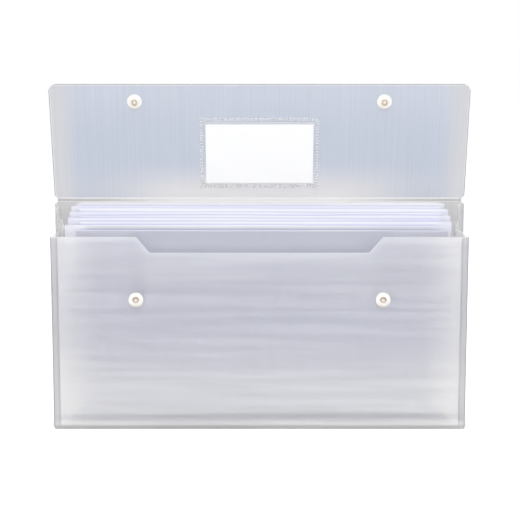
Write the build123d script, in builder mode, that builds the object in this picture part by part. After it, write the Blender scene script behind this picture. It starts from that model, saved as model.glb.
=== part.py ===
from build123d import *
from math import cos, radians, sin, tan
import os

os.makedirs("parts", exist_ok=True)

# Snap document wallet, standing on its base with the flap open.
# Millimetres. X runs along the wallet, Y from the front panel to the back panel, Z up.
# The origin is the middle of the box that holds the whole wallet, on the surface it stands on.

# Sheets
sheet_width = 330.0
front_height = 155.8
crease_height = 180.5
spine_height = 2.6
flap_length = 95.0
flap_lean = 14.2
sheet_thickness = 0.5
body_depth = 31.0
base_corner_cut = 2.0
fold_corner_cut = 2.2
flap_corner_radius = 6.0

# Fold between the spine strip and the flap
flap_close_angle = 105.0
crease_spare_angle = 4.0
crease_gap = 0.04
shallow_crease_depth = 0.2

# Thumb notch in the front panel
notch_top_width = 194.6
notch_floor_width = 173.4
notch_depth = 12.6
notch_floor_radius = 3.5
notch_top_radius = 1.5

# Weld line pressed into the front panel
weld_line_width = 1.0
weld_line_depth = 0.1

# Gusset film
film_thickness = 0.3
side_gusset_depth = 11.0
mouth_gusset_depth = 9.0
base_gusset_height = 12.5
side_flange_width = 5.5
base_flange_height = 3.5
gusset_level_height = 20.0
gusset_edge_drop = 1.0
gusset_crease_rise = 6.5
film_fold_inset = 0.35

# Press snaps
snap_spacing = 196.0
flap_snap_inset = 14.0
front_snap_drop = 50.3
flange_radius = 5.9
flange_height = 0.9
cap_radius = 6.0
cap_height = 1.3
cap_rim_height = 0.5
cap_crown_radius = 2.6
cap_shoulder_radius = 4.6
cap_shoulder_height = 1.05
prong_radius = 1.1
prong_play = 0.1
prong_hole_play = 0.2
prong_head_radius = 1.45
prong_head_height = 0.6
edge_bevel = 0.3
socket_ring_radius = 4.2
socket_height = 2.6
socket_floor = 0.7
socket_cavity_radius = 2.85
socket_lip_radius = 2.6
socket_lip_height = 0.5
stud_step_radius = 3.75
stud_step_height = 1.4
stud_neck_radius = 2.35
stud_neck_height = 0.5
stud_bulb_radius = 2.72
stud_height = 3.1
stud_recess_radius = 1.65
stud_floor = 2.2

# Label pocket and its card
pocket_width = 94.6
pocket_height = 58.6
pocket_rise = 9.3
pocket_film_thickness = 0.15
pocket_weld_band = 2.7
slit_inset = 4.0
card_width = 85.5
card_height = 49.0
card_thickness = 0.25
card_lift = 0.25
card_play = 0.1
card_end_room = 1.4

# Paper stack
paper_side_room = 5.5
paper_front_room = 7.0
paper_back_room = 1.0
paper_seat_gap = 0.3
paper_drops = [1.2, 2.5, 4.4, 7.0, 9.3, 11.4, 13.9, 16.0, 20.1]
paper_shifts = [0.3, -2.7, 3.3, -3.7, 4.2, -4.6, 5.0, -6.3, 2.5]

# Places that follow from the sizes above
front_y = (socket_height - body_depth) / 2
back_y = front_y + body_depth
middle_y = (front_y + back_y) / 2
front_inner_y = front_y + sheet_thickness
back_inner_y = back_y - sheet_thickness
hinge_z = crease_height + spine_height
crease_half_angle = (flap_close_angle + flap_lean + crease_spare_angle) / 2
crease_run = sheet_thickness * tan(radians(crease_half_angle))
front_snap_z = front_height - front_snap_drop
flap_snap_rise = flap_length - flap_snap_inset
prong_hole_radius = prong_radius + prong_hole_play
prong_bore_radius = prong_radius + prong_play

# Faces that the pieces are drawn on, with local x along the wallet and local y up the sheet
front_face = Plane(origin=(0, front_y, 0), x_dir=(1, 0, 0), z_dir=(0, -1, 0))
back_face = Plane(origin=(0, back_y, 0), x_dir=(1, 0, 0), z_dir=(0, -1, 0))
flap_inward = Vector(0, -cos(radians(flap_lean)), -sin(radians(flap_lean)))
flap_face = Plane(origin=(0, back_y, hinge_z), x_dir=(1, 0, 0), z_dir=flap_inward)
label_face = flap_face.offset(sheet_thickness)
card_face = label_face.offset(card_lift)


def profile_plane(foot, outward):
    """Plane for a half profile: local x is the radius and local y the height over the sheet."""
    return Plane(origin=foot, x_dir=(1, 0, 0), z_dir=Vector(1, 0, 0).cross(outward))


# Main sheet: back panel, spine strip and flap
with BuildPart() as back_panel:
    with BuildSketch(back_face) as back_outline:
        Rectangle(sheet_width, crease_height, align=(Align.CENTER, Align.MIN))
        chamfer(back_outline.vertices().group_by(Axis.Y)[0], base_corner_cut)
        chamfer(back_outline.vertices().group_by(Axis.Y)[-1], fold_corner_cut)
    extrude(amount=sheet_thickness)
back_panel.part.label = "back_panel"
export_step(back_panel.part, "parts/back_panel.step")

# The strip's inner side is coined away at the hinge, so that the flap can fold over it
spine_width = sheet_width - 2 * fold_corner_cut
with BuildPart() as spine_strip:
    with BuildSketch(Plane.YZ.offset(-spine_width / 2)):
        Polygon(
            (back_y, crease_height),
            (back_y, hinge_z - crease_gap),
            (back_inner_y, hinge_z - crease_gap - crease_run),
            (back_inner_y, crease_height + shallow_crease_depth),
            (back_inner_y + shallow_crease_depth, crease_height),
            align=None,
        )
    extrude(amount=spine_width)
spine_strip.part.label = "spine_strip"
export_step(spine_strip.part, "parts/spine_strip.step")

# Bevel on the flap's inner side, the other half of the coined groove
with BuildPart() as flap_panel:
    with BuildSketch(flap_face) as flap_outline:
        with Locations((0, crease_gap)):
            Rectangle(sheet_width, flap_length - crease_gap, align=(Align.CENTER, Align.MIN))
        chamfer(flap_outline.vertices().group_by(Axis.Y)[0], fold_corner_cut)
        fillet(flap_outline.vertices().group_by(Axis.Y)[-1], flap_corner_radius)
        with Locations((0, flap_snap_rise)):
            with GridLocations(snap_spacing, 0, 2, 1):
                Circle(prong_hole_radius, mode=Mode.SUBTRACT)
    extrude(amount=sheet_thickness)
    with BuildSketch(Plane.YZ.offset(-sheet_width / 2)):
        with BuildLine():
            tip = flap_face.from_local_coords((0, crease_gap, 0))
            foot = flap_face.from_local_coords((0, crease_gap, sheet_thickness))
            shoulder = flap_face.from_local_coords((0, crease_gap + crease_run, sheet_thickness))
            Polyline((tip.Y, tip.Z), (foot.Y, foot.Z), (shoulder.Y, shoulder.Z), close=True)
        make_face()
    extrude(amount=sheet_width, mode=Mode.SUBTRACT)
flap_panel.part.label = "flap_panel"
export_step(flap_panel.part, "parts/flap_panel.step")

# Front panel with its thumb notch, snap holes and pressed weld line
with BuildPart() as front_panel:
    with BuildSketch(front_face) as front_outline:
        Rectangle(sheet_width, front_height, align=(Align.CENTER, Align.MIN))
        chamfer(front_outline.vertices().group_by(Axis.Y)[0], base_corner_cut)
        notch_floor_z = front_height - notch_depth
        Polygon(
            (-notch_top_width / 2, front_height),
            (-notch_floor_width / 2, notch_floor_z),
            (notch_floor_width / 2, notch_floor_z),
            (notch_top_width / 2, front_height),
            align=None,
            mode=Mode.SUBTRACT,
        )
        top_corners = front_outline.vertices().group_by(Axis.Y)[-1].sort_by(Axis.X)
        fillet(top_corners[1:-1], notch_top_radius)
        floor_corners = front_outline.vertices().filter_by_position(
            Axis.Y, notch_floor_z - notch_top_radius, notch_floor_z + notch_top_radius
        )
        fillet(floor_corners, notch_floor_radius)
        with Locations((0, front_snap_z)):
            with GridLocations(snap_spacing, 0, 2, 1):
                Circle(prong_hole_radius, mode=Mode.SUBTRACT)
    extrude(amount=-sheet_thickness)
    with BuildSketch(front_face):
        line_outer_width = sheet_width - 2 * side_flange_width + weld_line_width
        line_inner_width = line_outer_width - 2 * weld_line_width
        with Locations((0, base_flange_height - weld_line_width / 2)):
            Rectangle(line_outer_width, front_height, align=(Align.CENTER, Align.MIN))
        with Locations((0, base_flange_height + weld_line_width / 2)):
            Rectangle(line_inner_width, front_height, align=(Align.CENTER, Align.MIN), mode=Mode.SUBTRACT)
    extrude(amount=-weld_line_depth, mode=Mode.SUBTRACT)
front_panel.part.label = "front_panel"
export_step(front_panel.part, "parts/front_panel.step")


def film_path(along_front, along_fold, along_crease):
    """Points of the film across the wallet: flange, fold, inner crease, fold, flange."""
    front_film_y = front_inner_y + film_thickness / 2
    back_film_y = back_inner_y - film_thickness / 2
    return [
        (along_front, front_film_y),
        (along_fold, front_film_y),
        (along_crease, middle_y),
        (along_fold, back_film_y),
        (along_front, back_film_y),
    ]


half_width = sheet_width / 2
mitre_rise = base_gusset_height / side_gusset_depth

# Side gussets: the inner crease is deep at the base and shallower at the mouth
for name, side in (("gusset_left", -1), ("gusset_right", 1)):
    flange_x = side * (half_width - side_flange_width)
    fold_x = side * (half_width - film_fold_inset)
    with BuildPart() as gusset:
        for height, inset in (
            (0, side_gusset_depth),
            (gusset_level_height, side_gusset_depth),
            (crease_height, mouth_gusset_depth),
        ):
            with BuildSketch(Plane.XY.offset(height)):
                with BuildLine():
                    Polyline(*film_path(flange_x, fold_x, side * (half_width - inset)))
                    offset(amount=film_thickness / 2, side=Side.BOTH, kind=Kind.INTERSECTION)
                make_face()
        loft(ruled=True)
        with BuildSketch(Plane.YZ.offset(-half_width)):
            crease_top = front_height + gusset_crease_rise
            Polygon(
                (front_y, front_height - gusset_edge_drop),
                (front_inner_y + film_thickness, front_height - gusset_edge_drop),
                (middle_y, crease_top),
                (back_inner_y - film_thickness, crease_height - gusset_edge_drop),
                (back_y, crease_height - gusset_edge_drop),
                (back_y, hinge_z + flap_length),
                (front_y, hinge_z + flap_length),
                align=None,
            )
        extrude(amount=sheet_width, mode=Mode.SUBTRACT)
        corner = (side * half_width, 0, 0)
        split(bisect_by=Plane(corner, x_dir=(0, 1, 0), z_dir=(side * mitre_rise, 0, 1)), keep=Keep.TOP)
    gusset.part.label = name
    export_step(gusset.part, f"parts/{name}.step")

# Bottom gusset: the same film, folded upwards and mitred into both sides
with BuildPart() as gusset_bottom:
    with BuildSketch(Plane.YZ.offset(-half_width)):
        with BuildLine():
            Polyline(*[(y, z) for z, y in film_path(base_flange_height, film_fold_inset, base_gusset_height)])
            offset(amount=film_thickness / 2, side=Side.BOTH, kind=Kind.INTERSECTION)
        make_face()
    extrude(amount=sheet_width)
    for side in (-1, 1):
        corner = (side * half_width, 0, 0)
        split(bisect_by=Plane(corner, x_dir=(0, 1, 0), z_dir=(side * mitre_rise, 0, 1)), keep=Keep.BOTTOM)
gusset_bottom.part.label = "gusset_bottom"
export_step(gusset_bottom.part, "parts/gusset_bottom.step")


def make_cap(foot, outward, grip):
    """Rivet cap, crowned in steps, whose prong passes through the sheet and is headed over the grip."""
    with BuildPart() as cap:
        with BuildSketch(profile_plane(foot, outward)):
            Polygon(
                (0, cap_height),
                (cap_crown_radius, cap_height),
                (cap_shoulder_radius, cap_shoulder_height),
                (cap_radius, cap_rim_height),
                (cap_radius, 0),
                (prong_radius, 0),
                (prong_radius, -grip),
                (prong_head_radius, -grip),
                (prong_head_radius - edge_bevel, -grip - prong_head_height),
                (0, -grip - prong_head_height),
                align=None,
            )
        revolve(axis=Axis(foot, outward))
    return cap


def make_socket(foot, outward):
    """Female half: a ring on a flange, with a lip that narrows the mouth of its cavity."""
    lip_foot = socket_height - socket_lip_height
    with BuildPart() as socket:
        with BuildSketch(profile_plane(foot, outward)) as section:
            Polygon(
                (prong_bore_radius, 0),
                (flange_radius, 0),
                (flange_radius, flange_height),
                (socket_ring_radius, flange_height),
                (socket_ring_radius, socket_height),
                (socket_lip_radius, socket_height),
                (socket_lip_radius, lip_foot),
                (socket_cavity_radius, lip_foot - edge_bevel),
                (socket_cavity_radius, socket_floor),
                (prong_bore_radius, socket_floor),
                align=None,
            )
            rims = section.vertices().filter_by_position(Axis.Y, flange_height / 2, socket_height)
            outer_rims = rims.filter_by_position(Axis.X, socket_ring_radius, flange_radius)
            chamfer(outer_rims, edge_bevel)
        revolve(axis=Axis(foot, outward))
    return socket


def make_stud(foot, outward):
    """Male half: a bulb on a narrower neck, hollow in the middle for the prong's head."""
    neck_top = stud_step_height + stud_neck_height
    bulb_bevel = stud_bulb_radius - stud_neck_radius
    with BuildPart() as stud:
        with BuildSketch(profile_plane(foot, outward)):
            Polygon(
                (stud_recess_radius, stud_height),
                (stud_recess_radius, stud_floor),
                (prong_bore_radius, stud_floor),
                (prong_bore_radius, 0),
                (flange_radius, 0),
                (flange_radius, flange_height - edge_bevel),
                (flange_radius - edge_bevel, flange_height),
                (stud_step_radius, flange_height),
                (stud_step_radius, stud_step_height - edge_bevel),
                (stud_step_radius - edge_bevel, stud_step_height),
                (stud_neck_radius, stud_step_height),
                (stud_neck_radius, neck_top),
                (stud_bulb_radius, neck_top + bulb_bevel),
                (stud_bulb_radius, stud_height - bulb_bevel),
                (stud_neck_radius, stud_height),
                align=None,
            )
        revolve(axis=Axis(foot, outward))
    return stud


# The four snap halves and their rivet caps
for name, side in (("left", -1), ("right", 1)):
    snap_x = side * snap_spacing / 2
    outer_foot = front_face.from_local_coords((snap_x, front_snap_z, 0))
    inner_foot = front_face.from_local_coords((snap_x, front_snap_z, -sheet_thickness))
    front_socket = make_socket(outer_foot, front_face.z_dir)
    front_socket.part.label = f"front_socket_{name}"
    export_step(front_socket.part, f"parts/front_socket_{name}.step")
    front_cap = make_cap(inner_foot, -front_face.z_dir, sheet_thickness + socket_floor)
    front_cap.part.label = f"front_cap_{name}"
    export_step(front_cap.part, f"parts/front_cap_{name}.step")

    outer_foot = flap_face.from_local_coords((snap_x, flap_snap_rise, 0))
    inner_foot = flap_face.from_local_coords((snap_x, flap_snap_rise, sheet_thickness))
    flap_stud = make_stud(inner_foot, flap_inward)
    flap_stud.part.label = f"flap_stud_{name}"
    export_step(flap_stud.part, f"parts/flap_stud_{name}.step")
    flap_cap = make_cap(outer_foot, -flap_inward, sheet_thickness + stud_floor)
    flap_cap.part.label = f"flap_cap_{name}"
    export_step(flap_cap.part, f"parts/flap_cap_{name}.step")

# Label film: welded flat all round, with a raised window that is open at the slit
window_width = pocket_width - 2 * pocket_weld_band
window_low = pocket_rise + pocket_weld_band
slit_rise = pocket_rise + pocket_height - slit_inset
slot_height = card_lift + card_thickness + card_play
with BuildPart() as label_film:
    with BuildSketch(label_face):
        with Locations((0, pocket_rise)):
            Rectangle(pocket_width, pocket_height, align=(Align.CENTER, Align.MIN))
    extrude(amount=pocket_film_thickness)
    with BuildSketch(label_face):
        with Locations((0, window_low)):
            Rectangle(window_width, slit_rise - window_low, align=(Align.CENTER, Align.MIN))
    extrude(amount=slot_height + pocket_film_thickness)
    with BuildSketch(label_face):
        with Locations((0, window_low + pocket_film_thickness)):
            Rectangle(
                window_width - 2 * pocket_film_thickness,
                slit_rise - window_low - pocket_film_thickness,
                align=(Align.CENTER, Align.MIN),
            )
    extrude(amount=slot_height, mode=Mode.SUBTRACT)
label_film.part.label = "label_film"
export_step(label_film.part, "parts/label_film.step")

with BuildPart() as label_card:
    with BuildSketch(card_face):
        with Locations((0, window_low + pocket_film_thickness + card_end_room)):
            Rectangle(card_width, card_height, align=(Align.CENTER, Align.MIN))
    extrude(amount=card_thickness)
label_card.part.label = "label_card"
export_step(label_card.part, "parts/label_card.step")

# Paper bundles from the back of the stack to its front, each a little lower than the last
paper_width = sheet_width - 2 * (side_gusset_depth + paper_side_room)
paper_foot_z = base_gusset_height + film_thickness + paper_seat_gap
stack_back_y = back_inner_y - paper_back_room
stack_front_y = front_inner_y + paper_front_room
bundle_thickness = (stack_back_y - stack_front_y) / len(paper_drops)
for index, (drop, shift) in enumerate(zip(paper_drops, paper_shifts)):
    bundle_height = crease_height - drop - paper_foot_z
    bundle_back = Plane(
        origin=(shift, stack_back_y - index * bundle_thickness, paper_foot_z),
        x_dir=(1, 0, 0),
        z_dir=(0, -1, 0),
    )
    with BuildPart() as paper_bundle:
        with BuildSketch(bundle_back):
            Rectangle(paper_width, bundle_height, align=(Align.CENTER, Align.MIN))
        extrude(amount=bundle_thickness)
    paper_bundle.part.label = f"paper_bundle_{index + 1}"
    export_step(paper_bundle.part, f"parts/paper_bundle_{index + 1}.step")
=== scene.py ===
import math
import random

import bpy
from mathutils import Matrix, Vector, noise


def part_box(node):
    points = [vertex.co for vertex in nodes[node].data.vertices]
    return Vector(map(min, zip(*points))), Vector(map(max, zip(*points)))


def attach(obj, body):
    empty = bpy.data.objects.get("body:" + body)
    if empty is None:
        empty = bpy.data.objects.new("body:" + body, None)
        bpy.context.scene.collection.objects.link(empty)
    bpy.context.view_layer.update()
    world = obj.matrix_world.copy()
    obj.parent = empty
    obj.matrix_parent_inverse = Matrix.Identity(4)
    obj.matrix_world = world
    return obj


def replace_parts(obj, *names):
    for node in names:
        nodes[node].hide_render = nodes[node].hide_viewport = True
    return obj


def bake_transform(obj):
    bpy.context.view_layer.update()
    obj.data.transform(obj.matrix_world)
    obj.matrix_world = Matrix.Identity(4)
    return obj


# Looks of the snap document wallet, in metres and in the frame of the CAD model

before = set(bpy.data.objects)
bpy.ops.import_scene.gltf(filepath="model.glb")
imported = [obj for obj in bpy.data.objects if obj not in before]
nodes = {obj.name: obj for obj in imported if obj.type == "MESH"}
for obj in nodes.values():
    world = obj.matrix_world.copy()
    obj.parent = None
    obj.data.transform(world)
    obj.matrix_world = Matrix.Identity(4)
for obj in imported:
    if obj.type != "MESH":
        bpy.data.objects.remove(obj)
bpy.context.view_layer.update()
MM = 0.001
WHITE = (1.0, 1.0, 1.0)

# Places in the CAD frame, in millimetres
FRONT_Y = -14.2
BACK_Y = 16.8
MIDDLE_Y = (FRONT_Y + BACK_Y) / 2
SHEET = 0.5
CREASE_Z = 180.5
SPINE_HEIGHT = 2.6
HINGE_Z = CREASE_Z + SPINE_HEIGHT
FRONT_TOP = 155.8
HALF_WIDTH = 165.0
FLAP_LENGTH = 95.0

# Directions up the flap and out of its inner side
LEAN = math.radians(14.2)
FLAP_UP = Vector((0, -math.sin(LEAN), math.cos(LEAN)))
FLAP_IN = Vector((0, -math.cos(LEAN), -math.sin(LEAN)))
HINGE = Vector((0, BACK_Y, HINGE_Z))

# Thumb notch: half widths at the front panel's edge and at the notch's floor
NOTCH_HALF_TOP = 97.3
NOTCH_HALF_FLOOR = 86.7
NOTCH_DEPTH = 12.6

# Snaps
SNAP_X = 98.0
FRONT_SNAP_Z = 105.5
FLAP_SNAP_RISE = 81.0

# Label pocket on the flap
POCKET_WIDTH = 94.6
POCKET_FOOT = 9.3
POCKET_HEIGHT = 58.6
POCKET_FILM = 0.15
POCKET_WELD = 2.7
SLIT_RISE = 63.7
SLIT_HALF_LENGTH = 44.0


# Camera
def add_camera():
    """Camera at the photograph's viewing angle."""
    data = bpy.data.cameras.new("camera")
    camera = bpy.data.objects.new("camera", data)
    bpy.context.scene.collection.objects.link(camera)
    data.sensor_width = 36.0
    data.lens = 96.85
    data.clip_start = 0.01
    data.clip_end = 50
    camera.location = (0.0004, -1.1068, 0.3027)
    camera.rotation_euler = (math.radians(90 - 8.6), 0, 0)
    bpy.context.scene.camera = camera
    bpy.context.scene.view_settings.view_transform = "Standard"


add_camera()


# Node helpers
class Shader:
    """A material's node tree, with short calls for the nodes it is built from."""

    def __init__(self, name):
        self.material = bpy.data.materials.new(name)
        self.material.use_nodes = True
        self.tree = self.material.node_tree
        self.principled = self.tree.nodes["Principled BSDF"]

    def node(self, kind, **settings):
        made = self.tree.nodes.new(kind)
        for key, value in settings.items():
            setattr(made, key, value)
        return made

    def link(self, source, target):
        self.tree.links.new(source, target)

    def feed(self, value, socket):
        """Set a socket to a number, or link it to another node."""
        if isinstance(value, (int, float)):
            socket.default_value = value
        else:
            self.link(value, socket)

    def set(self, **values):
        """Set sockets of the shader. An underscore stands for a space in a socket's name."""
        for key, value in values.items():
            self.principled.inputs[key.replace("_", " ")].default_value = value

    def to(self, socket, value):
        self.link(value, self.principled.inputs[socket])

    def math(self, operation, *values, clamp=False):
        made = self.node("ShaderNodeMath", operation=operation, use_clamp=clamp)
        for index, value in enumerate(values):
            self.feed(value, made.inputs[index])
        return made.outputs[0]

    def plus(self, total, *others, clamp=False):
        for other in others:
            total = self.math("ADD", total, other, clamp=clamp)
        return total

    def minus(self, a, b):
        return self.math("SUBTRACT", a, b)

    def times(self, product, *others):
        for other in others:
            product = self.math("MULTIPLY", product, other)
        return product

    def size(self, value):
        return self.math("ABSOLUTE", value)

    def vector(self, operation, value, other=None):
        """Outputs of a vector operation, whose second value is a constant."""
        made = self.node("ShaderNodeVectorMath", operation=operation)
        self.link(value, made.inputs[0])
        if other is not None:
            made.inputs[1].default_value = other
        return made.outputs

    def coordinates(self, kind="Object"):
        return self.node("ShaderNodeTexCoord").outputs[kind]

    def parts(self, vector):
        """X, Y and Z of a vector."""
        made = self.node("ShaderNodeSeparateXYZ")
        self.link(vector, made.inputs[0])
        return made.outputs

    def place(self):
        """X and Z of the surface at rest, in metres."""
        position = self.parts(self.coordinates())
        return position["X"], position["Z"]

    def noise(self, scale, stretch=(1, 1, 1), detail=3.0, roughness=0.5):
        """Noise value, with the object's coordinates multiplied by stretch."""
        mapping = self.node("ShaderNodeMapping")
        mapping.inputs["Scale"].default_value = stretch
        self.link(self.coordinates(), mapping.inputs["Vector"])
        made = self.node("ShaderNodeTexNoise")
        made.inputs["Scale"].default_value = scale
        made.inputs["Detail"].default_value = detail
        made.inputs["Roughness"].default_value = roughness
        self.link(mapping.outputs[0], made.inputs["Vector"])
        return made.outputs[0]

    def ramp(self, value, low, high, from_value=0.0, to_value=1.0, smooth=True):
        """Value mapped from low..high to from_value..to_value."""
        made = self.node("ShaderNodeMapRange")
        if smooth:
            made.interpolation_type = "SMOOTHSTEP"
        self.link(value, made.inputs[0])
        for index, number in enumerate((low, high, from_value, to_value)):
            made.inputs[index + 1].default_value = number
        return made.outputs[0]

    def span(self, length, low, high, from_value=0.0, to_value=1.0, smooth=True):
        """Ramp over a length in metres, whose low and high are in millimetres."""
        return self.ramp(length, low * MM, high * MM, from_value, to_value, smooth)

    def mix(self, factor, a, b):
        """Colour between a and b."""
        made = self.node("ShaderNodeMix", data_type="RGBA")
        self.feed(factor, made.inputs[0])
        for index, value in ((6, a), (7, b)):
            if isinstance(value, tuple):
                made.inputs[index].default_value = (*value, 1)
            else:
                self.link(value, made.inputs[index])
        return made.outputs[2]

    def bump(self, height, distance, strength, below=None):
        """Bump whose distance is in millimetres, over another bump where one is given."""
        made = self.node("ShaderNodeBump")
        made.inputs["Strength"].default_value = strength
        made.inputs["Distance"].default_value = distance * MM
        self.link(height, made.inputs["Height"])
        if below is not None:
            self.link(below, made.inputs["Normal"])
        return made.outputs[0]


def dress(name, look):
    """Give a CAD node its material."""
    nodes[name].data.materials.clear()
    nodes[name].data.materials.append(look.material)


def flap_rise(s, z):
    """How far up the flap a point is from its fold, in metres."""
    return s.math("DIVIDE", s.minus(z, HINGE_Z * MM), math.cos(LEAN))


def edge_distance(s, across, along, half_width, low, high):
    """Metres from a point to the nearest edge of an upright rectangle given in millimetres."""
    side = s.minus(half_width * MM, s.size(across))
    foot = s.minus(along, low * MM)
    head = s.minus(high * MM, along)
    return s.math("MINIMUM", side, s.math("MINIMUM", foot, head))


# Frosted sheets
def frosted(name, tint, rough, transmission, streak, shade):
    """Extruded frosted polypropylene: fine draw lines, matte grain and a faint cloudiness."""
    s = Shader(name)
    broad = s.noise(620, stretch=(1, 0.02, 0.008), detail=2.0, roughness=0.6)
    fine = s.noise(1500, stretch=(1, 0.02, 0.01), detail=2.0, roughness=0.6)
    lines = s.plus(s.times(broad, 0.6), s.times(fine, 0.4))
    grain = s.noise(2600, detail=2.0)
    cloud = s.noise(9, detail=2.0)
    paler = tuple(min(1, part * 1.02) for part in tint)
    colour = shade(s, s.mix(s.ramp(cloud, 0.3, 0.7), tint, paler))
    colour = s.mix(s.ramp(lines, 0.38, 0.66, 0.0, streak), colour, (0.95, 0.955, 0.98))
    s.to("Base Color", colour)
    s.to("Roughness", s.ramp(grain, 0.2, 0.8, rough - 0.03, rough + 0.03))
    s.to("Normal", s.bump(grain, 0.02, 0.5, s.bump(lines, 0.04, 0.4)))
    s.set(IOR=1.49, Transmission_Weight=transmission, Specular_IOR_Level=0.4)
    return s


def flap_shade(s, colour):
    """Painted light and shade: paler towards the top, paler and more neutral at the ends, a warm painted
    light along the fold, and at the cut edges a painted highlight line inside a painted shade line.
    """
    fold_margin = 10.0
    x, z = s.place()
    rise = flap_rise(s, z)
    across = s.size(x)
    # painted light: paler towards the top and at the ends
    colour = s.mix(s.span(rise, 50, FLAP_LENGTH, 0.0, 0.4), colour, (0.78, 0.81, 0.9))
    colour = s.mix(s.span(across, 143, 158), colour, (0.745, 0.755, 0.79))
    # painted light: warm and paler along the fold
    warm_painted_light = s.times(s.span(rise, 2, 34, 1.0, 0.0), s.span(across, 60, 140, 1.0, 0.25))
    colour = s.mix(warm_painted_light, colour, (0.89, 0.875, 0.88))
    near = edge_distance(s, x, rise, HALF_WIDTH, -fold_margin, FLAP_LENGTH)
    # painted highlight just inside the cut edges, and a painted shade line right at them
    colour = s.mix(s.span(near, 0.8, 1.5, 0.95, 0.0), colour, WHITE)
    return s.mix(s.span(near, 0.5, 0.7, 0.9, 0.0), colour, (0.32, 0.33, 0.36))


def front_light_and_ripple(s, under, across, side, z):
    """Painted light on the front panel with a random ripple of haze, and the warm share of that painted
    light.
    """
    mitre_start = 4.1
    mitre_slope = 0.94
    # painted light: a lit band under the free edge, following the notch
    edge_band = s.plus(s.span(under, 3, 4.5, 0.16, 0.0), s.span(under, 4, 50, 0.24, 0.0))
    # painted light: lighter towards the base
    low = s.times(s.span(z, 20, 100, 0.52, 0.0), s.span(z, 10.5, 14.5, 0.5, 1.0))
    low = s.times(low, s.span(across, 120, 150, 1.0, 0.78))
    # painted light: lighter again just above the base weld
    foot = s.times(s.span(z, 3.2, 11.5, 0.36, 0.0), s.span(z, 2.7, 3.1))
    # painted light beside the papers, bounded by the gusset's mitre
    over_mitre = s.minus(z, s.times(s.minus(side, mitre_start * MM), mitre_slope))
    strip = s.times(s.span(across, 122, 152, 0.0, 0.28), s.span(across, 158.8, 160.2, 1.0, 0.0))
    strip = s.times(strip, s.span(over_mitre, -0.8, 0.8, 0.3, 1.0))
    # random ripples of the film itself
    ripple = s.noise(60, stretch=(0.1, 1, 2.5), detail=2)
    waves = s.ramp(ripple, 0.4, 0.65, 0.0, 0.17)
    light_and_ripple = s.plus(edge_band, low, strip, waves, foot, clamp=True)
    # warm share of the painted light beside the papers and towards the base
    warm_painted_light = s.math("MULTIPLY", s.plus(strip, foot, s.times(low, 0.4)), 2.5, clamp=True)
    return light_and_ripple, warm_painted_light


def front_shade(s, colour):
    """Painted light as a milky haze under the free edge, beside the papers and towards the base, a
    painted highlight along the free edge, painted shade along the cut sides, and lined at the welds.
    """
    seam_inset = 4.7
    x, z = s.place()
    across = s.size(x)
    side = s.minus(HALF_WIDTH * MM, across)
    notch = s.span(across, NOTCH_HALF_FLOOR, NOTCH_HALF_TOP, NOTCH_DEPTH * MM, 0.0, smooth=False)
    under = s.minus(s.minus(FRONT_TOP * MM, notch), z)
    light_and_ripple, warm_painted_light = front_light_and_ripple(s, under, across, side, z)
    # where the painted light lies, the panel is less clear and paler
    s.to("Transmission Weight", s.minus(0.86, s.times(light_and_ripple, 0.6)))
    colour = s.mix(light_and_ripple, colour, s.mix(warm_painted_light, (0.935, 0.945, 1.0), (1.0, 0.995, 0.99)))
    # painted highlight along the free edge, the notch included
    colour = s.mix(s.span(under, 0.4, 1.0, 0.7, 0.0), colour, WHITE)
    colour = s.mix(s.span(side, 5.2, 6.0, 0.5, 0.0), colour, (0.83, 0.83, 0.84))
    seam = s.span(s.size(s.minus(side, seam_inset * MM)), 0.4, 0.9, 0.5, 0.0)
    colour = s.mix(seam, colour, (0.72, 0.72, 0.73))
    colour = s.mix(s.span(z, 2.7, 3.1, 1.0, 0.0), colour, (0.84, 0.83, 0.82))
    # painted shade along the cut sides
    return s.mix(s.span(side, 0.5, 0.8, 0.9, 0.0), colour, (0.35, 0.35, 0.36))


def back_shade(s, colour):
    """Milkier against the papers, and beside them a painted shade that is greyer towards the mouth."""
    x, z = s.place()
    beside = s.span(s.size(x), 141, 150)
    clear_share = s.math("MAXIMUM", beside, s.span(z, 166, 175))
    s.to("Transmission Weight", s.plus(0.36, s.times(clear_share, 0.36)))
    # painted shade beside the papers, deepest towards the mouth
    return s.mix(beside, colour, s.mix(s.span(z, 100, 155), (0.82, 0.82, 0.825), (0.65, 0.65, 0.655)))


def spine_shade(s, colour):
    """Painted light: paler along the middle."""
    across = s.size(s.place()[0])
    return s.mix(s.span(across, 50, 150, 0.8, 0.0), colour, (0.92, 0.905, 0.905))


# The flap is tinted darker and bluer than the back panel it folds from, as painted shade.
flap_look = frosted("frosted_flap", (0.63, 0.68, 0.785), 0.42, 0.4, 0.17, flap_shade)
front_look = frosted("frosted_front", (0.93, 0.935, 0.975), 0.34, 0.86, 0.1, front_shade)
back_look = frosted("frosted_back", (0.93, 0.93, 0.95), 0.36, 0.72, 0.2, back_shade)
# The spine strip is tinted far darker than the other sheets, as painted shade.
spine_look = frosted("frosted_spine", (0.55, 0.54, 0.55), 0.42, 0.8, 0.15, spine_shade)
dress("flap_panel", flap_look)
dress("front_panel", front_look)
dress("back_panel", back_look)
dress("spine_strip", spine_look)


# Gusset film, thinner and clearer than the panels
def finish_film(s, creases, colour, alpha, rough, relief):
    """Film that is less clear and rougher along its creases. Alpha and rough are pairs."""
    s.to("Base Color", colour)
    s.to("Alpha", s.ramp(creases, 0.3, 0.75, *alpha))
    s.to("Roughness", s.ramp(creases, 0.3, 0.7, *rough))
    s.to("Normal", s.bump(creases, relief, 0.5))
    s.set(IOR=1.46)
    return s


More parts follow.
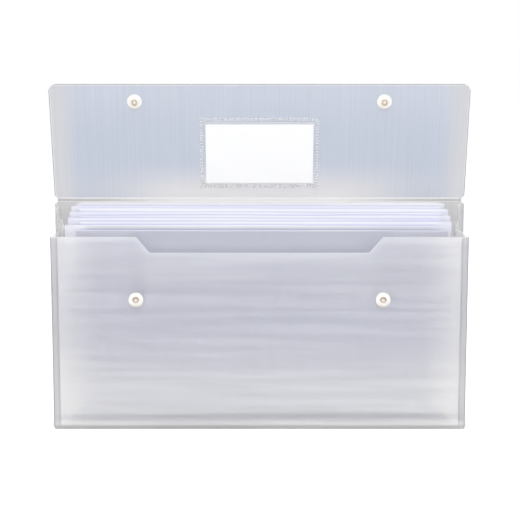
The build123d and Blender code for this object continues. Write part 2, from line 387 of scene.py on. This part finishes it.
def side_film():
    """Film of the side gussets, paler where its crease noise is high."""
    s = Shader("gusset_film")
    creases = s.noise(150, stretch=(1, 1, 0.2), detail=3.0)
    colour = s.mix(s.ramp(creases, 0.38, 0.62), (0.74, 0.74, 0.75), (0.96, 0.96, 0.965))
    return finish_film(s, creases, colour, (0.24, 0.36), (0.2, 0.35), 0.4)


def base_film():
    """Film of the bottom gusset, which is drawn smooth."""
    s = Shader("gusset_film_base")
    lines = s.noise(900, stretch=(1, 0.05, 0.02), detail=2.0)
    colour = s.mix(s.ramp(lines, 0.35, 0.7), (0.9, 0.9, 0.905), (0.98, 0.98, 0.985))
    return finish_film(s, lines, colour, (0.2, 0.34), (0.25, 0.35), 0.05)


side_film_look = side_film()
dress("gusset_bottom", base_film())


# Snap plastic
def snap_look(name, centre, axis, recess_radius, recess_shade, low_share):
    """Ivory acetal, with tan painted shade in the recess round its axis, deepest at the recess's top, at
    the rim's foot and where it faces down.
    """
    s = Shader(name)
    offset = s.vector("SUBTRACT", s.coordinates(), centre * MM)["Vector"]
    along = s.vector("DOT_PRODUCT", offset, axis)["Value"]
    length = s.vector("LENGTH", offset)["Value"]
    square = s.minus(s.math("POWER", length, 2.0), s.math("POWER", along, 2.0))
    radius = s.math("SQRT", s.math("MAXIMUM", square, 0.0))
    height = s.parts(offset)[2]
    # painted shade: tan in the recess, deepest at its top
    recess = s.times(
        s.span(radius, recess_radius - 0.1, recess_radius + 0.15, 1.0, 0.0),
        s.span(radius, 1.25, 1.6),
        s.span(height, -1.6, 1.2, recess_shade * low_share, recess_shade),
    )
    # painted shade at the foot of the rim
    rim = s.times(s.span(radius, 4.9, 5.8), s.span(height, -5.2, -2.0, 0.55, 0.0))
    # painted shade where the surface faces down
    below = s.ramp(s.parts(s.coordinates("Normal"))[2], -0.95, -0.25, 0.9, 0.0)
    # all of it is painted shade, mixed in as tan over the ivory
    painted_shade_share = s.math("MAXIMUM", s.math("MAXIMUM", recess, rim), below)
    ivory = s.mix(s.ramp(s.noise(900, detail=2), 0.3, 0.7), (0.94, 0.93, 0.9), (0.98, 0.975, 0.96))
    s.to("Base Color", s.mix(painted_shade_share, ivory, (0.64, 0.5, 0.33)))
    s.to("Roughness", s.ramp(s.noise(2200), 0.3, 0.7, 0.22, 0.32))
    s.to("Normal", s.bump(s.noise(3000), 0.01, 0.3))
    s.set(Subsurface_Weight=0.2, Subsurface_Radius=(0.001, 0.001, 0.0008))
    return s


def dress_snaps(side, sign):
    front_centre = Vector((SNAP_X * sign, FRONT_Y, FRONT_SNAP_Z))
    front_out = Vector((0, -1, 0))
    flap_centre = HINGE + Vector((SNAP_X * sign, 0, 0)) + FLAP_UP * FLAP_SNAP_RISE
    # recess radius, strength of the tan painted shade in the recess, and its share at the recess's foot
    parts = (
        (f"front_socket_{side}", front_centre, front_out, 2.85, 0.95, 0.3),
        (f"front_cap_{side}", front_centre, front_out, 0.5, 0.0, 1.0),
        (f"flap_stud_{side}", flap_centre, FLAP_IN, 2.45, 1.0, 0.85),
        (f"flap_cap_{side}", flap_centre, FLAP_IN, 0.5, 0.0, 1.0),
    )
    for name, *settings in parts:
        dress(name, snap_look("ivory_" + name, *settings))


dress_snaps("left", -1)
dress_snaps("right", 1)


# Label pocket, card and paper
def pocket_look():
    """Clear film, foggy along its weld, with a painted highlight line along the slit."""
    s = Shader("pocket_film")
    x, z = s.place()
    rise = flap_rise(s, z)
    edge = edge_distance(s, x, rise, POCKET_WIDTH / 2, POCKET_FOOT, POCKET_FOOT + POCKET_HEIGHT)
    band = s.span(edge, POCKET_WELD - 0.1, POCKET_WELD + 0.1, 1.0, 0.0)
    # painted highlight along the slit's edge
    slit = s.times(
        s.span(s.size(s.minus(rise, SLIT_RISE * MM)), 0.3, 0.6, 0.75, 0.0),
        s.span(s.size(x), SLIT_HALF_LENGTH - 0.5, SLIT_HALF_LENGTH + 0.5, 1.0, 0.0),
    )
    fogged = s.noise(500, detail=2)
    weld = s.times(band, s.ramp(fogged, 0.35, 0.65, 0.14, 0.28))
    weld_fog_and_slit_highlight = s.math("MAXIMUM", weld, slit)
    s.to("Base Color", s.mix(weld_fog_and_slit_highlight, (0.93, 0.94, 0.97), WHITE))
    s.to("Alpha", s.plus(0.05, s.times(weld_fog_and_slit_highlight, 0.85)))
    s.to("Roughness", s.plus(0.12, s.times(band, 0.25)))
    s.to("Normal", s.bump(fogged, 0.03, 0.4))
    return s


def matt_look(name, scale, detail, colours, relief, strength, rough):
    """Opaque matt surface, mottled between two near colours."""
    s = Shader(name)
    mottle = s.noise(scale, detail=detail)
    s.to("Base Color", s.mix(s.ramp(mottle, 0.3, 0.7), *colours))
    s.to("Normal", s.bump(mottle, relief, strength))
    s.set(Roughness=rough)
    return s


def paper_look():
    """Office paper, with blue painted shade and grey painted shade where its sheets are marked with them.
    """
    s = Shader("office_paper")
    fibre = s.noise(1500, detail=4)
    clouds = s.noise(14, stretch=(0.4, 8, 1.5), detail=2)
    colour = s.mix(s.ramp(clouds, 0.3, 0.7), (0.86, 0.865, 0.96), (0.94, 0.94, 0.985))
    # blue and grey painted shade, read from the shares marked on the sheets
    for layer, shadow in (("painted_blue_shade", (0.62, 0.64, 0.9)), ("painted_grey_shade", (0.45, 0.46, 0.55))):
        share = s.node("ShaderNodeAttribute", attribute_name=layer).outputs["Fac"]
        colour = s.mix(share, colour, shadow)
    s.to("Base Color", s.mix(s.ramp(fibre, 0.3, 0.7, 0.0, 0.12), colour, (0.93, 0.93, 0.99)))
    s.to("Normal", s.bump(fibre, 0.03, 0.3))
    s.set(Roughness=0.85)
    return s


card_colours = ((0.975, 0.975, 0.975), (0.995, 0.995, 0.995))
card_look = matt_look("card_stock", 1800, 4, card_colours, 0.03, 0.3, 0.8)
sheet_look = paper_look()
dress("label_film", pocket_look())
dress("label_card", card_look)


# Mesh helpers
def add_mesh(name, verts, faces, look):
    mesh = bpy.data.meshes.new(name)
    mesh.from_pydata([tuple(v) for v in verts], [], faces)
    mesh.validate()
    mesh.materials.append(look.material)
    piece = bpy.data.objects.new(name, mesh)
    bpy.context.scene.collection.objects.link(piece)
    return piece


def grid_faces(columns, rows, start=0):
    """Quads of a grid whose vertices run along its columns first."""
    faces = []
    for row in range(rows - 1):
        for column in range(columns - 1):
            corner = start + row * columns + column
            faces.append((corner, corner + 1, corner + columns + 1, corner + columns))
    return faces


def turned(faces):
    return [tuple(reversed(face)) for face in faces]


def smooth(piece):
    for face in piece.data.polygons:
        face.use_smooth = True
    return piece


# Papers: each bundle is a handful of separate sheets with their own heights and waves
BUNDLES = 9
SHEETS_PER_BUNDLE = 5
PAPER_COLUMNS = 48

# How far the rows of a sheet lie under its top edge, in millimetres, before the last row at its foot
DEPTHS = [0, 0.35, 0.7, 1.1, 1.5, 2.0, 2.6, 3.3, 4.2, 6, 10, 24, 60, 110]


def wave(x, height):
    """Gentle curl of the papers, in millimetres, the same for neighbours."""
    return noise.noise(Vector((x * 0.012, height * 0.02, 3.0))) * 0.5


def bundle_drop(index, across, x):
    """How far a bundle's highest sheet lies under the top of its solid."""
    picker = random.Random(900 + index)
    left = picker.uniform(0.0, 0.5)
    right = picker.uniform(0.0, 1.2) if index > 1 else 0.0
    phase = picker.uniform(0, 90)
    long_ripple = 0.35 * noise.noise(Vector((x * 0.012, phase, 0)))
    short_ripple = 0.12 * noise.noise(Vector((x * 0.05, phase, 4)))
    return max(0.0, left + across * (right - left) + long_ripple + short_ripple)


def bundle_top(index, x):
    low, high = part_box(f"paper_bundle_{index}")
    across = (x * MM - low.x) / (high.x - low.x)
    return high.z / MM - bundle_drop(index, across, x)


def front_bundle_painted_shade(x, depth):
    """Grey painted shade of the foremost bundle, deepest behind the notch and gone towards the base."""
    if depth < 0.5:
        return 0.0
    beside_notch = min(1.0, max(0.0, (abs(x) - 85) / 25))
    return 0.94 * max(0.0, 1 - max(0.0, depth - 4) / 64) * (1 - 0.35 * beside_notch)


def shade_of(index, number, x, z, top):
    """Blue painted shade and grey painted shade of a sheet, strongest on the foremost one just above the
    next bundle.
    """
    if number < SHEETS_PER_BUNDLE - 1:
        return 0.15, 0.0
    if index == BUNDLES:
        return 0.1, front_bundle_painted_shade(x, top - z)
    low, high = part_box(f"paper_bundle_{index + 1}")
    gap = z - bundle_top(index + 1, x)
    if not low.x < x * MM < high.x or gap < -0.5:
        return 0.1, 0.1
    picker = random.Random(70 + index)
    strength = picker.uniform(0.5, 1.0)
    width = picker.uniform(0.35, 0.7)
    # painted shadow line just above the next bundle's top
    line = strength * math.exp(-((gap - 0.15) / width) ** 2)
    fade = 12 * MM
    inside = min(1.0, (x * MM - low.x) / fade, (high.x - x * MM) / fade)
    # grey painted shade on the face just above the foremost bundle
    painted_grey_shade = 0.85 * inside * max(0.0, 1 - max(0.0, gap) / 4.5) if index == BUNDLES - 1 else 0.0
    return line, painted_grey_shade


def sheet_rim(rows):
    """Places of the vertices round the edge of one face of a sheet, in order."""
    rim = list(range(PAPER_COLUMNS))
    rim += [row * PAPER_COLUMNS + PAPER_COLUMNS - 1 for row in range(1, rows)]
    rim += [(rows - 1) * PAPER_COLUMNS + column for column in range(PAPER_COLUMNS - 2, -1, -1)]
    rim += [row * PAPER_COLUMNS for row in range(rows - 2, 0, -1)]
    return rim


def make_bundle(index):
    node = f"paper_bundle_{index}"
    low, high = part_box(node)
    low, high = low / MM, high / MM
    picker = random.Random(400 + index)
    pitch = (high.y - low.y) / SHEETS_PER_BUNDLE
    rows = len(DEPTHS) + 1
    count = PAPER_COLUMNS * rows
    rim = sheet_rim(rows)
    verts = []
    faces = []
    shades = []
    for number in range(SHEETS_PER_BUNDLE):
        back = high.y - (number + 0.5) * pitch
        foremost = number == SHEETS_PER_BUNDLE - 1
        lower = 0.0 if foremost else picker.uniform(0.1, 1.1)
        inset_left = picker.uniform(0.0, 1.2)
        inset_right = picker.uniform(0.0, 1.2)
        half = picker.uniform(0.09, 0.16)
        phase = picker.uniform(0, 50)
        width = high.x - low.x - inset_left - inset_right
        first = len(verts)
        for face_side in (-1, 1):
            for row in range(rows):
                for column in range(PAPER_COLUMNS):
                    across = column / (PAPER_COLUMNS - 1)
                    px = low.x + inset_left + across * width
                    top = high.z - bundle_drop(index, across, px) - lower
                    pz = top - DEPTHS[row] if row < len(DEPTHS) else low.z
                    share = (pz - low.z) / (high.z - low.z)
                    own = 0.06 * noise.noise(Vector((px * 0.03, pz * 0.03, phase)))
                    py = back + share * (wave(px, pz) + own) + face_side * half
                    verts.append(Vector((px, py, pz)) * MM)
                    shades.append(shade_of(index, number, px, pz, top))
        faces += turned(grid_faces(PAPER_COLUMNS, rows, first))
        faces += grid_faces(PAPER_COLUMNS, rows, first + count)
        faces += [
            (first + a, first + b, first + count + b, first + count + a)
            for a, b in zip(rim, rim[1:] + rim[:1])
        ]
    piece = add_mesh(f"papers_{index}", verts, faces, sheet_look)
    for place, layer in enumerate(("painted_blue_shade", "painted_grey_shade")):
        made = piece.data.attributes.new(layer, "FLOAT", "POINT")
        made.data.foreach_set("value", [shade[place] for shade in shades])
    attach(piece, "wallet")
    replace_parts(piece, node)


for index in range(1, BUNDLES + 1):
    make_bundle(index)


# Side gussets: film folded inwards in a V, a little crumpled towards the mouth
GUSSET_ROWS = 56
FLANGE_STEPS = 3
FOLD_STEPS = 9

# Sizes of the film in millimetres; it is drawn a little thinner than its solid
FLANGE = 5.5
FOLD_INSET = 0.35
FILM = 0.3
SHOWN_FILM = 0.25

# How far the fold reaches inwards, up to this height and at the mouth, and how high the base fold stands
GUSSET_REACH = 11.0
MOUTH_REACH = 9.0
FULL_REACH_HEIGHT = 20.0
BASE_FOLD_HEIGHT = 12.5

# Upper edge of the film: under the panels' edges at its flanges, over the front's edge at its fold
EDGE_DROP = 1.0
FOLD_RISE = 6.5


def gusset_section():
    """Inset, depth and share of the fold along the film's middle, from front flange to back flange."""
    front = FRONT_Y + SHEET + FILM / 2
    back = BACK_Y - SHEET - FILM / 2
    stride = (FLANGE - FOLD_INSET) / FLANGE_STEPS
    path = [(FLANGE - step * stride, front, 0.0) for step in range(FLANGE_STEPS)]
    for step in range(FOLD_STEPS + 1):
        share = step / FOLD_STEPS
        path.append((FOLD_INSET, front + share * (MIDDLE_Y - front), share))
    for step in range(1, FOLD_STEPS + 1):
        share = step / FOLD_STEPS
        path.append((FOLD_INSET, MIDDLE_Y + share * (back - MIDDLE_Y), 1 - share))
    path += [(FOLD_INSET + step * stride, back, 0.0) for step in range(1, FLANGE_STEPS + 1)]
    return path


def gusset_head(depth, fold):
    """Height of the film's upper edge."""
    edge = (FRONT_TOP if depth < MIDDLE_Y else CREASE_Z) - EDGE_DROP
    return edge + (FRONT_TOP + FOLD_RISE - edge) * fold


def crumple(depth, height, sign):
    """Unevenness of the loose film, different on each side of the wallet."""
    broad = noise.noise(Vector((depth * 0.35, height * 0.09, 7.0 * sign)))
    fine = noise.noise(Vector((depth * 0.8, height * 0.2, 3.0 * sign)))
    return broad + 0.5 * fine


def make_gusset(name, sign):
    section = gusset_section()
    verts = []
    for row in range(GUSSET_ROWS):
        share = row / (GUSSET_ROWS - 1)
        taper = max(0.0, share * FRONT_TOP - FULL_REACH_HEIGHT) / (CREASE_Z - FULL_REACH_HEIGHT)
        deepest = GUSSET_REACH - (GUSSET_REACH - MOUTH_REACH) * taper
        loose = max(0.0, share - 0.35) / 0.65
        for inset, depth, fold in section:
            reach = inset + fold * (deepest - FOLD_INSET)
            foot = reach * BASE_FOLD_HEIGHT / GUSSET_REACH
            height = foot + share * (gusset_head(depth, fold) - foot)
            free = math.sin(math.pi * fold) ** 0.7 if 0 < fold < 1 else 0.0
            reach -= free * loose * (0.5 + 1.5 * crumple(depth, height, sign))
            reach = max(FOLD_INSET, reach)
            verts.append(Vector((sign * (HALF_WIDTH - reach), depth, height)) * MM)
    faces = grid_faces(len(section), GUSSET_ROWS)
    if sign > 0:
        faces = turned(faces)
    piece = smooth(add_mesh(name, verts, faces, side_film_look))
    thick = piece.modifiers.new("thickness", "SOLIDIFY")
    thick.thickness = SHOWN_FILM * MM
    thick.offset = 0
    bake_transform(piece)
    return piece


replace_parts(make_gusset("side_film_left", -1), "gusset_left")
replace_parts(make_gusset("side_film_right", 1), "gusset_right")


# Raised bead in the hinge groove, and a thinner one along the crease under it, both white as a painted
# highlight
BEAD_STEPS = 8
BEAD_RINGS = 40
# the beads are white as a painted highlight along the hinge and the crease
highlight_bead_look = matt_look("crease_painted_highlight", 300, 3, ((0.96, 0.96, 0.97), WHITE), 0.05, 0.4, 0.45)


def make_bead(name, y, z, radius, half_length):
    verts = []
    for ring in range(BEAD_RINGS):
        px = -half_length + 2 * half_length * ring / (BEAD_RINGS - 1)
        for step in range(BEAD_STEPS):
            angle = 2 * math.pi * step / BEAD_STEPS
            verts.append(Vector((px, y + radius * math.cos(angle), z + radius * math.sin(angle))) * MM)
    faces = []
    for ring in range(BEAD_RINGS - 1):
        for step in range(BEAD_STEPS):
            a = ring * BEAD_STEPS + step
            b = ring * BEAD_STEPS + (step + 1) % BEAD_STEPS
            faces.append((a, a + BEAD_STEPS, b + BEAD_STEPS, b))
    faces.append(tuple(range(BEAD_STEPS)))
    faces.append(tuple(reversed(range((BEAD_RINGS - 1) * BEAD_STEPS, BEAD_RINGS * BEAD_STEPS))))
    return smooth(add_mesh(name, verts, faces, highlight_bead_look))


bead = make_bead("hinge_bead", BACK_Y - 0.5, HINGE_Z + 0.2, 0.42, 162.4)
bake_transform(bead)
lower_bead = make_bead("lower_crease", BACK_Y - SHEET - 0.02, CREASE_Z, 0.18, 162.6)
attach(lower_bead, "wallet")


# Knurled weld of the label pocket: two staggered rows of pressed pips on each side, in millimetres
KNURL_INSETS = (0.7, 2.0)
KNURL_PITCH = 2.3
PIP_RISE = 0.08

# Shape of a pip: its crown's share of its foot, and its height up the flap as a share of its width
PIP_CROWN = 0.55
PIP_SQUASH = 0.85


def pip_look():
    """Pressed film, whitened unevenly."""
    s = Shader("knurled_weld")
    blush = s.noise(700, detail=2)
    s.to("Base Color", s.mix(s.ramp(blush, 0.35, 0.65), (0.93, 0.93, 0.95), WHITE))
    s.to("Roughness", s.ramp(blush, 0.3, 0.7, 0.3, 0.45))
    s.to("Alpha", s.ramp(blush, 0.3, 0.6, 0.8, 1.0))
    return s


def knurl_steps(length, row):
    """Places of the pips along one side of the weld, with every second row half a pitch further on."""
    count = round(length / KNURL_PITCH)
    return [(step + 0.5 * row) * length / count for step in range(count)]


def knurl_places():
    """Centres of the pips across the wallet and up the flap, in millimetres."""
    places = []
    for row, inset in enumerate(KNURL_INSETS):
        side = POCKET_WIDTH / 2 - inset
        foot = POCKET_FOOT + inset
        head = POCKET_FOOT + POCKET_HEIGHT - inset
        for along in knurl_steps(2 * side, row):
            places += [(along - side, foot), (along - side, head)]
        for along in knurl_steps(head - foot, row):
            places += [(-side, foot + along), (side, foot + along)]
    return places


def make_knurl():
    verts = []
    faces = []
    picker = random.Random(11)
    for across, up in knurl_places():
        size = picker.uniform(0.42, 0.58)
        rise = picker.uniform(0.7, 1.0) * PIP_RISE
        centre = HINGE + Vector((across, 0, 0)) + FLAP_UP * up + FLAP_IN * (SHEET + POCKET_FILM)
        start = len(verts)
        for radius, lift in ((size, 0.0), (size * PIP_CROWN, rise)):
            for dx, du in ((-1, 0), (0, -PIP_SQUASH), (1, 0), (0, PIP_SQUASH)):
                corner = centre + Vector((dx * radius, 0, 0)) + FLAP_UP * (du * radius) + FLAP_IN * lift
                verts.append(corner * MM)
        for step in range(4):
            following = (step + 1) % 4
            faces.append((start + step, start + following, start + 4 + following, start + 4 + step))
        faces.append((start + 4, start + 5, start + 6, start + 7))
    piece = add_mesh("pocket_knurl", verts, faces, pip_look())
    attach(piece, "flap")


make_knurl()


# Floor, world and light
def seen_by(tree, *rays):
    """1 for the named kinds of ray, and 0 for the others."""
    path = tree.nodes.new("ShaderNodeLightPath")
    seen = path.outputs[rays[0]]
    for ray in rays[1:]:
        either = tree.nodes.new("ShaderNodeMath")
        either.operation = "MAXIMUM"
        tree.links.new(seen, either.inputs[0])
        tree.links.new(path.outputs[ray], either.inputs[1])
        seen = either.outputs[0]
    return seen


def floor_material():
    """Pale matt floor, lifted to white where the camera sees it or looks at it through the film."""
    made = bpy.data.materials.new("floor")
    made.use_nodes = True
    tree = made.node_tree
    tree.nodes.clear()
    diffuse = tree.nodes.new("ShaderNodeBsdfDiffuse")
    diffuse.inputs["Color"].default_value = (0.93, 0.93, 0.93, 1)
    glow = tree.nodes.new("ShaderNodeEmission")
    strength = tree.nodes.new("ShaderNodeMath")
    strength.operation = "MULTIPLY"
    strength.inputs[1].default_value = 0.2
    tree.links.new(seen_by(tree, "Is Camera Ray", "Is Transmission Ray"), strength.inputs[0])
    tree.links.new(strength.outputs[0], glow.inputs["Strength"])
    both = tree.nodes.new("ShaderNodeAddShader")
    tree.links.new(diffuse.outputs[0], both.inputs[0])
    tree.links.new(glow.outputs[0], both.inputs[1])
    out = tree.nodes.new("ShaderNodeOutputMaterial")
    tree.links.new(both.outputs[0], out.inputs["Surface"])
    return made


def add_floor():
    reach = 6.0
    level = -0.0001
    corners = [(x * reach, y * reach, level) for x, y in ((-1, -1), (1, -1), (1, 1), (-1, 1))]
    mesh = bpy.data.meshes.new("floor")
    mesh.from_pydata(corners, [], [(0, 1, 2, 3)])
    mesh.materials.append(floor_material())
    floor = bpy.data.objects.new("floor", mesh)
    bpy.context.scene.collection.objects.link(floor)


def add_world():
    """Soft even light, and plain white where it is seen, reflected or looked at through the film."""
    world = bpy.data.worlds.new("studio")
    bpy.context.scene.world = world
    world.use_nodes = True
    tree = world.node_tree
    background = tree.nodes["Background"]
    background.inputs["Color"].default_value = (1, 1, 1, 1)
    level = tree.nodes.new("ShaderNodeMapRange")
    level.inputs["To Min"].default_value = 0.88
    level.inputs["To Max"].default_value = 1.0
    seen = seen_by(tree, "Is Camera Ray", "Is Transmission Ray", "Is Glossy Ray")
    tree.links.new(seen, level.inputs["Value"])
    tree.links.new(level.outputs[0], background.inputs["Strength"])


def add_light(name, place, target, width, power):
    data = bpy.data.lights.new(name, "AREA")
    data.shape = "SQUARE"
    data.size = width
    data.energy = power
    light = bpy.data.objects.new(name, data)
    bpy.context.scene.collection.objects.link(light)
    light.location = place
    light.rotation_euler = (Vector(target) - Vector(place)).to_track_quat("-Z", "Y").to_euler()


add_floor()
add_world()
add_light("key", (0.0, -0.7, 1.9), (0, 0, 0.1), 1.4, 15)
